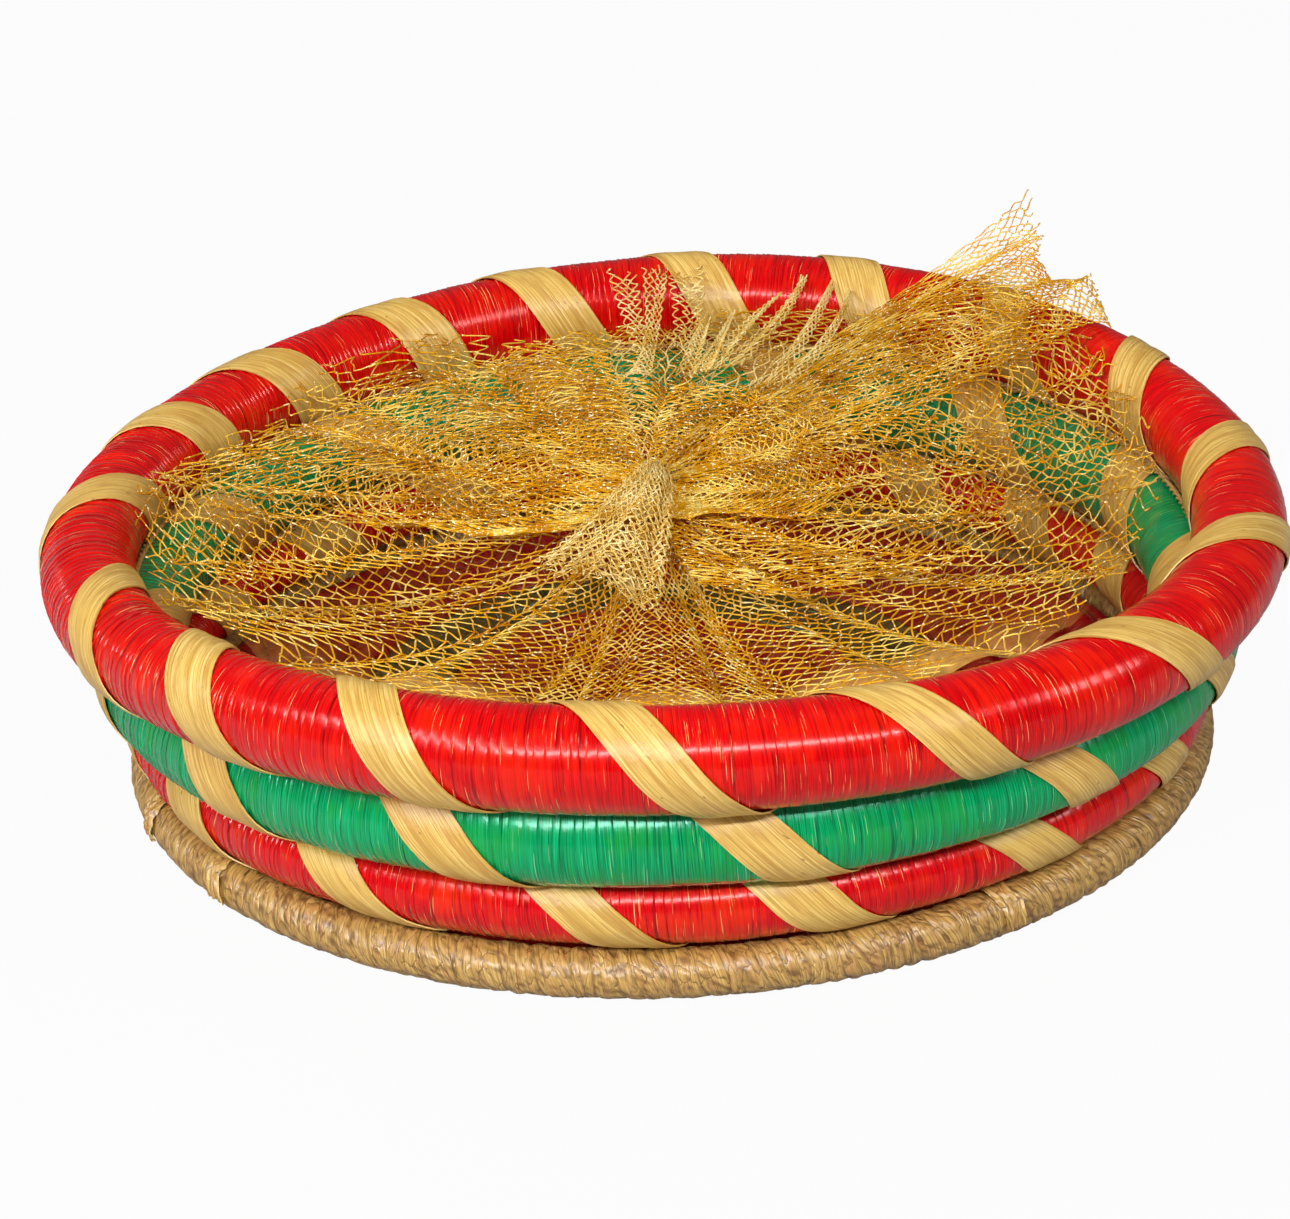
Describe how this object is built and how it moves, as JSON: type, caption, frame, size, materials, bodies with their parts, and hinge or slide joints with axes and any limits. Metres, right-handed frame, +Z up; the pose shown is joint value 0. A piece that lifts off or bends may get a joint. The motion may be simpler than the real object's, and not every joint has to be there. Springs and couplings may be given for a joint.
{
  "type": "round coiled basket",
  "caption": "Shallow round basket of fat wrapped straw coils in red and green with palm ribbon stripes, a coiled floor and a loose gold net laid over its mouth.",
  "frame": {"origin": "centre of the basket's outline, at the height that the foot coil rests on", "axes": "+Z up, out of the basket's mouth; -Y is the front that the picture shows; +X to the right seen from the front"},
  "size_m": [0.3593, 0.3585, 0.1187],
  "materials": {
    "red_strands": "glossy dyed plant fibre, wound side by side",
    "green_strands": "glossy dyed plant fibre, wound side by side",
    "maroon_strands": "satin dyed plant fibre, wound side by side",
    "palm_ribbon": "satin undyed palm leaf strip",
    "husk": "dry undyed leaf and husk strips",
    "straw_bundle": "matt bundle of straw",
    "sewing_cord": "twisted plant-fibre cord",
    "gold_net": "metallised gold yarn net"
  },
  "bodies": {
    "basket": {"rim_winding": "red_strands", "rim_core": "straw_bundle", "rim_ribbon": "palm_ribbon", "middle_winding": "green_strands", "middle_core": "straw_bundle", "middle_ribbon": "palm_ribbon", "lower_winding": "red_strands", "lower_core": "straw_bundle", "lower_ribbon": "palm_ribbon", "foot_winding": "husk", "foot_core": "straw_bundle", "foot_lashing_1": "husk", "foot_lashing_2": "husk", "foot_lashing_3": "husk", "foot_lashing_4": "husk", "foot_lashing_5": "husk", "foot_lashing_6": "husk", "floor_coil_outer": "maroon_strands", "floor_coil_middle": "green_strands", "floor_coil_centre": "maroon_strands", "sewing_cord_upper": "sewing_cord", "sewing_cord_lower": "sewing_cord"},
    "net": {"net": "gold_net"}
  },
  "joints": [
    {"name": "net_lift", "type": "slide", "parent": "basket", "child": "net", "axis": [0, 0, 1], "range_m": [0, 0.15]}
  ]
}
